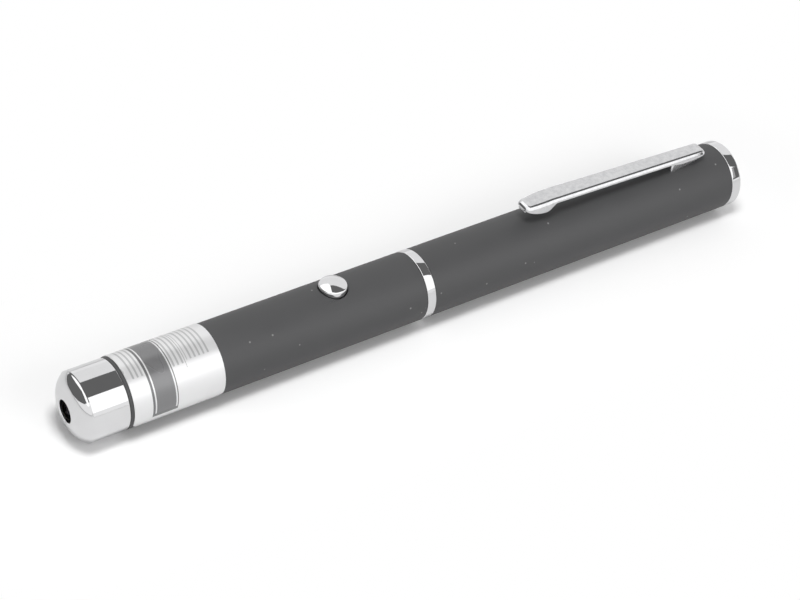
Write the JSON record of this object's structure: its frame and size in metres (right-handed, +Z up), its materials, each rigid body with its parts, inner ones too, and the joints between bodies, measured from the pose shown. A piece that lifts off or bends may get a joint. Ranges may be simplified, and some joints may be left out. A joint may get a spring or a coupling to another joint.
{
  "type": "laser pointer",
  "caption": "Pen-shaped laser pointer with a push button, a barrel that unscrews at the middle for its cells, and a sprung pocket clip.",
  "frame": {"origin": "under the middle of the pen's length, on the surface that it lies on", "axes": "+X along the pen from the nose, where the beam leaves, to the tail; +Z up through the button and the clip"},
  "size_m": [0.155, 0.0142, 0.0186],
  "materials": {
    "chrome": "polished",
    "painted_barrel": "matt",
    "foil": "satin",
    "brass": "turned",
    "spring_steel": "drawn",
    "lens_glass": "polished",
    "circuit_board": "satin",
    "black_plastic": "moulded",
    "grey_plastic": "moulded",
    "cell_can": "film wrapped"
  },
  "bodies": {
    "front": {"nose_cap": "chrome", "module_housing": "brass", "lens_holder": "brass", "collimating_lens": "lens_glass", "focus_spring": "spring_steel", "laser_diode": "brass", "front_barrel": "painted_barrel", "label_band": "foil", "board_carrier": "black_plastic", "driver_board": "circuit_board", "driver_chip": "black_plastic", "trim_pot": "grey_plastic", "capacitor": "grey_plastic", "power_transistor": "black_plastic", "switch_body": "black_plastic", "contact_spring": "spring_steel", "thread_coupling": "brass"},
    "button": {"push_button": "chrome", "switch_plunger": "grey_plastic"},
    "joint_ring": {"mid_ring": "chrome"},
    "rear_tube": {"rear_barrel": "painted_barrel", "front_cell": "cell_can", "rear_cell": "cell_can", "tail_spring": "spring_steel", "tail_cap": "chrome", "clip_saddle": "chrome", "clip_rivet": "brass"},
    "clip": {"pocket_clip": "chrome"}
  },
  "joints": [
    {"name": "button_press", "type": "slide", "parent": "front", "child": "button", "axis": [0, 0, -1], "range_m": [0, 0.0005], "stiffness_N_per_m": 1500, "springref_m": -0.0005},
    {"name": "barrel_unscrew", "type": "hinge", "parent": "front", "child": "joint_ring", "pos_m": [-0.00261, 0, 0.00702], "axis": [1, 0, 0], "range_deg": [0, 1440]},
    {"name": "barrel_advance", "type": "slide", "parent": "joint_ring", "child": "rear_tube", "axis": [1, 0, 0], "range_m": [0, 0.004]},
    {"name": "clip_flex", "type": "hinge", "parent": "rear_tube", "child": "clip", "pos_m": [0.0697, 0, 0.01533], "axis": [0, 1, 0], "range_deg": [0, 5], "stiffness_Nm_per_rad": 2, "springref_deg": -2.86}
  ],
  "couplings": [
    {"joint": "barrel_unscrew", "follows": "barrel_advance", "rad_per_m": 6283.2}
  ]
}
